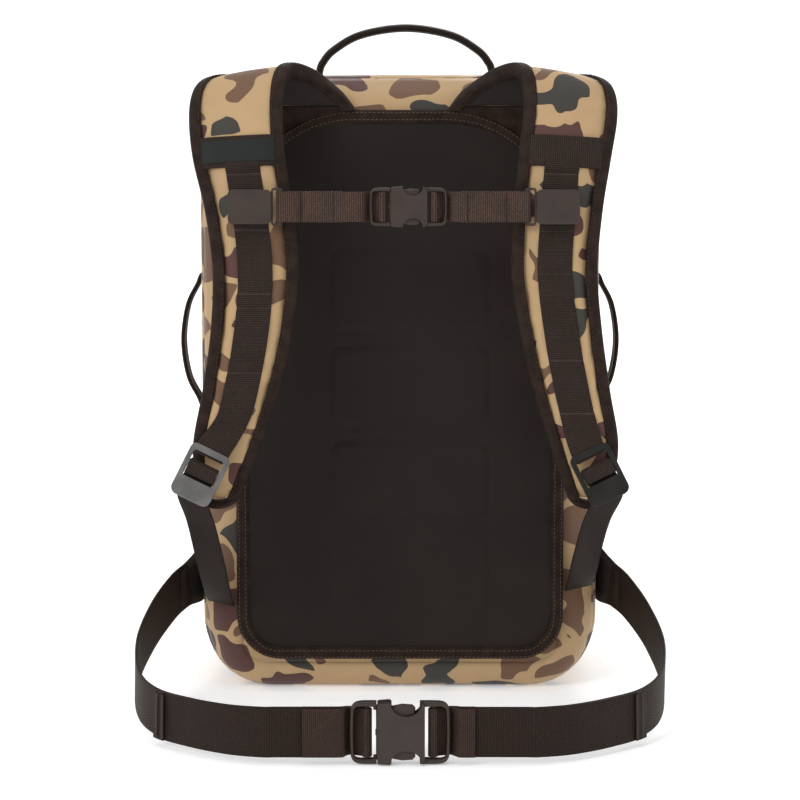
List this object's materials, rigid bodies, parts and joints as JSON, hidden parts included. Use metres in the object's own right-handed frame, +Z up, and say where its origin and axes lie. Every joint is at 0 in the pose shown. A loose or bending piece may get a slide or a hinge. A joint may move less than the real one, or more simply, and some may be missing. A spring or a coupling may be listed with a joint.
{
  "type": "tackle backpack",
  "caption": "Upright soft-shell fishing tackle backpack with a moulded back panel, padded shoulder straps, sternum strap, webbing hip belt, haul handles and a zipped front door.",
  "frame": {"origin": "centre of the bag's base on the floor", "axes": "+Z up, -Y out of the harness side that faces the wearer, +X to the right as seen from the harness side"},
  "size_m": [0.426, 0.4671, 0.5685],
  "materials": {
    "camo_laminate": "coated laminate fabric printed with large soft blobs, low sheen",
    "camo_strap": "printed woven strap face, fine weave, matt",
    "moulded_panel": "moulded foam panel, matt with a soft sheen",
    "binding_tape": "grosgrain binding tape with two rows of stitches",
    "webbing": "nylon webbing, visible weave",
    "handle_webbing": "nylon webbing, visible weave",
    "wing_fabric": "woven fabric tab",
    "buckle_plastic": "moulded acetal, satin",
    "adjuster_metal": "dark coated metal, satin",
    "label": "woven label, plain",
    "zip_tape": "coated zip tape with coil",
    "zip_metal": "dark plated metal",
    "rubber_pull": "moulded rubber",
    "frame_sheet": "plain sheet",
    "foam": "closed cell foam",
    "lining": "coated lining fabric"
  },
  "bodies": {
    "pack": {"bag_shell": "camo_laminate", "frame_sheet": "frame_sheet", "base_pad": "foam", "slip_pocket": "lining", "back_panel": "moulded_panel", "panel_binding": "binding_tape", "zip_track_body": "zip_tape", "top_handle_tabs": "handle_webbing", "side_handle_tabs": "handle_webbing", "shoulder_strap_left": "camo_strap", "shoulder_strap_right": "camo_strap", "strap_binding_left": "binding_tape", "strap_binding_right": "binding_tape", "strap_webbing_left": "webbing", "strap_webbing_right": "webbing", "cross_webbing_left": "webbing", "cross_webbing_right": "webbing", "label_patch": "label", "adjuster_hanger_left": "webbing", "adjuster_hanger_right": "webbing", "lower_webbing_left": "webbing", "lower_webbing_right": "webbing", "sternum_block_left": "buckle_plastic", "sternum_block_right": "buckle_plastic", "sternum_webbing_left": "webbing", "sternum_webbing_right": "webbing", "sternum_turn_right": "webbing", "sternum_socket": "buckle_plastic", "hip_wing_left": "wing_fabric", "hip_wing_right": "wing_fabric", "hip_webbing_left": "webbing", "hip_webbing_right": "webbing", "hip_tail_left": "webbing", "hip_tail_right": "webbing", "hip_turn_right": "webbing", "hip_socket": "buckle_plastic"},
    "front_door": {"front_door": "camo_laminate", "door_webbing": "webbing", "zip_track_door": "zip_tape"},
    "zip_slider": {"zip_slider": "zip_metal"},
    "zip_pull": {"zip_pull": "rubber_pull"},
    "top_handle": {"top_handle": "handle_webbing"},
    "side_handle_left": {"side_handle_left": "handle_webbing"},
    "side_handle_right": {"side_handle_right": "handle_webbing"},
    "adjuster_left": {"adjuster_left": "adjuster_metal", "adjuster_turn_left": "webbing"},
    "adjuster_right": {"adjuster_right": "adjuster_metal", "adjuster_turn_right": "webbing"},
    "sternum_plug": {"sternum_plug": "buckle_plastic", "sternum_turn_left": "webbing"},
    "sternum_prong_upper": {"sternum_prong_upper": "buckle_plastic"},
    "sternum_prong_lower": {"sternum_prong_lower": "buckle_plastic"},
    "hip_plug": {"hip_plug": "buckle_plastic", "hip_turn_left": "webbing"},
    "hip_prong_upper": {"hip_prong_upper": "buckle_plastic"},
    "hip_prong_lower": {"hip_prong_lower": "buckle_plastic"}
  },
  "joints": [
    {"name": "door_hinge", "type": "hinge", "parent": "pack", "child": "front_door", "pos_m": [0, 0.1075, 0.043], "axis": [-1, 0, 0], "range_deg": [0, 95]},
    {"name": "zip_slide", "type": "slide", "parent": "pack", "child": "zip_slider", "axis": [0, 0, 1], "range_m": [0, 0.33]},
    {"name": "zip_pull_swing", "type": "hinge", "parent": "zip_slider", "child": "zip_pull", "pos_m": [0.1204, 0.115, 0.087], "axis": [1, 0, 0], "range_deg": [0, 150]},
    {"name": "top_handle_swing", "type": "hinge", "parent": "pack", "child": "top_handle", "pos_m": [0.005, 0, 0.5338], "axis": [1, 0, 0], "range_deg": [-70, 70]},
    {"name": "side_handle_left_swing", "type": "hinge", "parent": "pack", "child": "side_handle_left", "pos_m": [-0.1828, 0, 0.291], "axis": [0, 0, 1], "range_deg": [-70, 70]},
    {"name": "side_handle_right_swing", "type": "hinge", "parent": "pack", "child": "side_handle_right", "pos_m": [0.1828, 0, 0.291], "axis": [0, 0, 1], "range_deg": [-70, 70]},
    {"name": "adjuster_left_tilt", "type": "hinge", "parent": "pack", "child": "adjuster_left", "pos_m": [-0.14976, -0.21849, 0.21753], "axis": [-0.8988, 0.0911, 0.4288], "range_deg": [0, 25]},
    {"name": "adjuster_right_tilt", "type": "hinge", "parent": "pack", "child": "adjuster_right", "pos_m": [0.14976, -0.21849, 0.21753], "axis": [-0.8988, -0.0911, -0.4288], "range_deg": [0, 25]},
    {"name": "sternum_release", "type": "slide", "parent": "pack", "child": "sternum_plug", "axis": [-1, 0, 0], "range_m": [0, 0.015]},
    {"name": "sternum_prong_upper_squeeze", "type": "hinge", "parent": "sternum_plug", "child": "sternum_prong_upper", "pos_m": [-0.0042, -0.2135, 0.41882], "axis": [0, 1, 0], "range_deg": [0, 18]},
    {"name": "sternum_prong_lower_squeeze", "type": "hinge", "parent": "sternum_plug", "child": "sternum_prong_lower", "pos_m": [-0.0042, -0.2135, 0.40518], "axis": [0, -1, 0], "range_deg": [0, 18]},
    {"name": "hip_release", "type": "slide", "parent": "pack", "child": "hip_plug", "axis": [-1, 0, 0], "range_m": [0, 0.02]},
    {"name": "hip_prong_upper_squeeze", "type": "hinge", "parent": "hip_plug", "child": "hip_prong_upper", "pos_m": [-0.01399, -0.343, 0.03462], "axis": [0, 1, 0], "range_deg": [0, 24]},
    {"name": "hip_prong_lower_squeeze", "type": "hinge", "parent": "hip_plug", "child": "hip_prong_lower", "pos_m": [-0.01399, -0.343, 0.01438], "axis": [0, -1, 0], "range_deg": [0, 24]}
  ],
  "couplings": [
    {"joint": "sternum_prong_upper_squeeze", "follows": "sternum_release", "rad_per_m": 20},
    {"joint": "sternum_prong_lower_squeeze", "follows": "sternum_release", "rad_per_m": 20},
    {"joint": "hip_prong_upper_squeeze", "follows": "hip_release", "rad_per_m": 20},
    {"joint": "hip_prong_lower_squeeze", "follows": "hip_release", "rad_per_m": 20}
  ]
}
